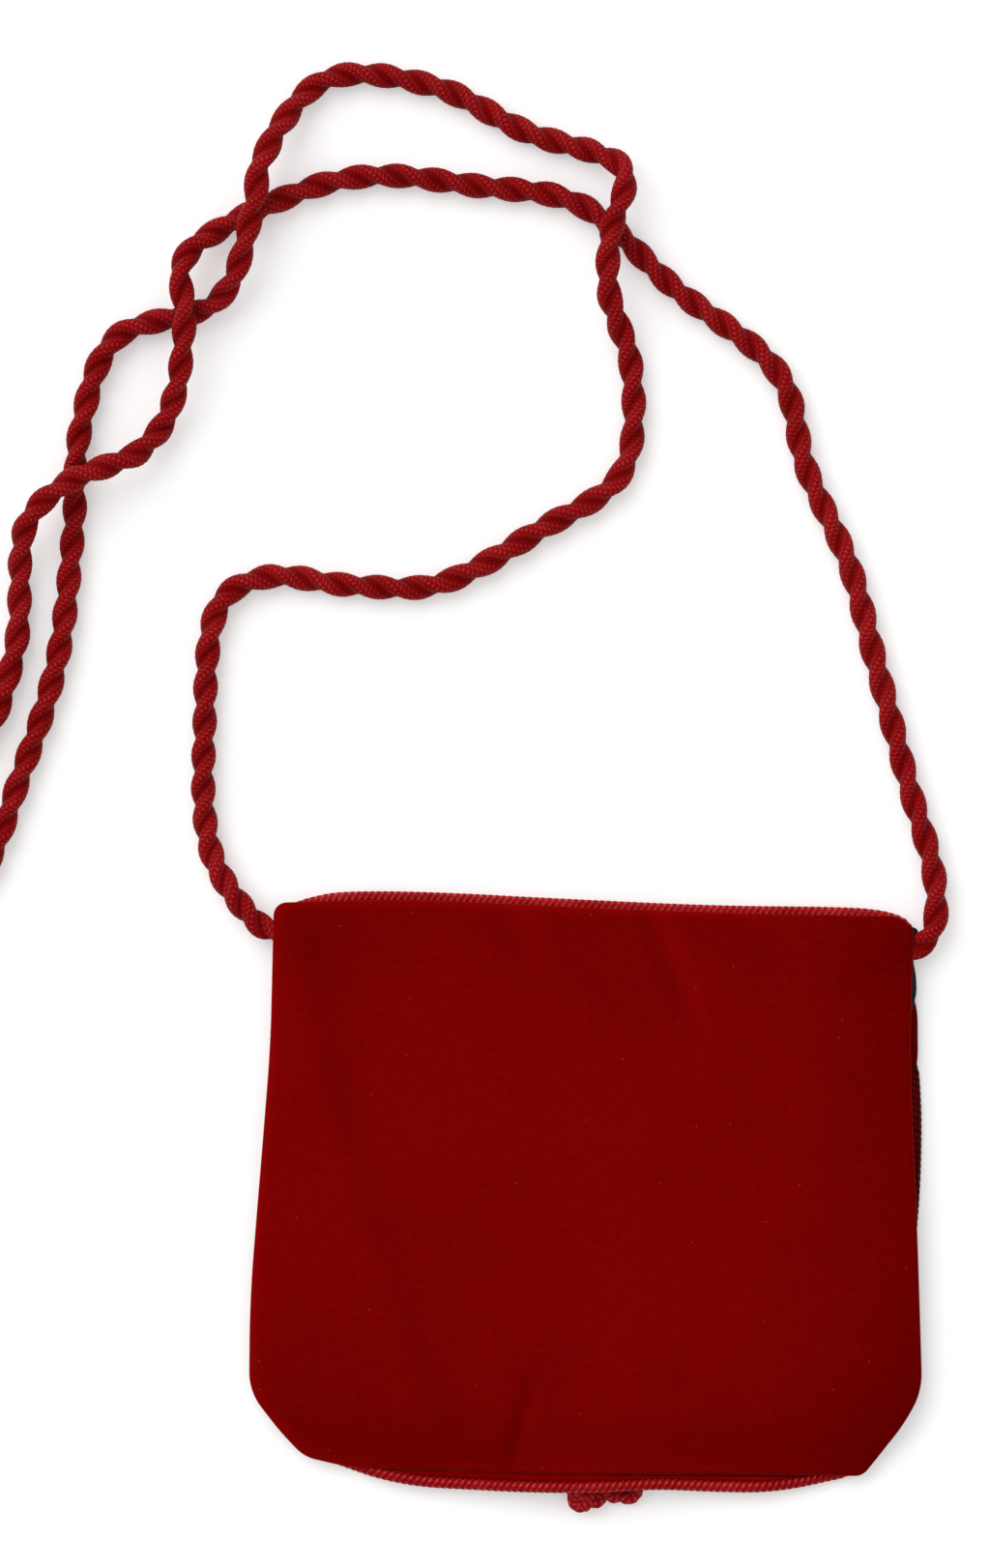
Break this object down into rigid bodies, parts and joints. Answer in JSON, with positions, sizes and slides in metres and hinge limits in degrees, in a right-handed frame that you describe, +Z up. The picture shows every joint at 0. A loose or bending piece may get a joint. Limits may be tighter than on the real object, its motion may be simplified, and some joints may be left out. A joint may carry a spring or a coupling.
{
  "type": "velvet shoulder purse",
  "caption": "Small flat velvet purse with a full-length cord-edged flap, a knotted frog closure at the foot and a long twisted cord shoulder strap.",
  "frame": {"origin": "middle of the purse's box without the strap, on the surface that it lies on", "axes": "+Z up, away from the surface, on the side of the purse's back; +Y towards the purse's top edge; +X to the right as the back is seen"},
  "size_m": [0.2728, 0.3668, 0.0139],
  "materials": {
    "velvet": "short dense pile, dull with a soft sheen",
    "satin": "smooth black lining satin",
    "cord": "twisted and braided rayon cord, slightly shiny"
  },
  "bodies": {
    "root": {"back_panel": "velvet", "back_lining": "satin", "front_panel": "velvet", "front_lining": "satin", "flap": "velvet", "flap_lining": "satin", "flap_edge_cord": "cord", "top_piping": "cord", "frog_button": "cord", "frog_loop": "cord", "strap_cord": "cord"}
  },
  "joints": []
}
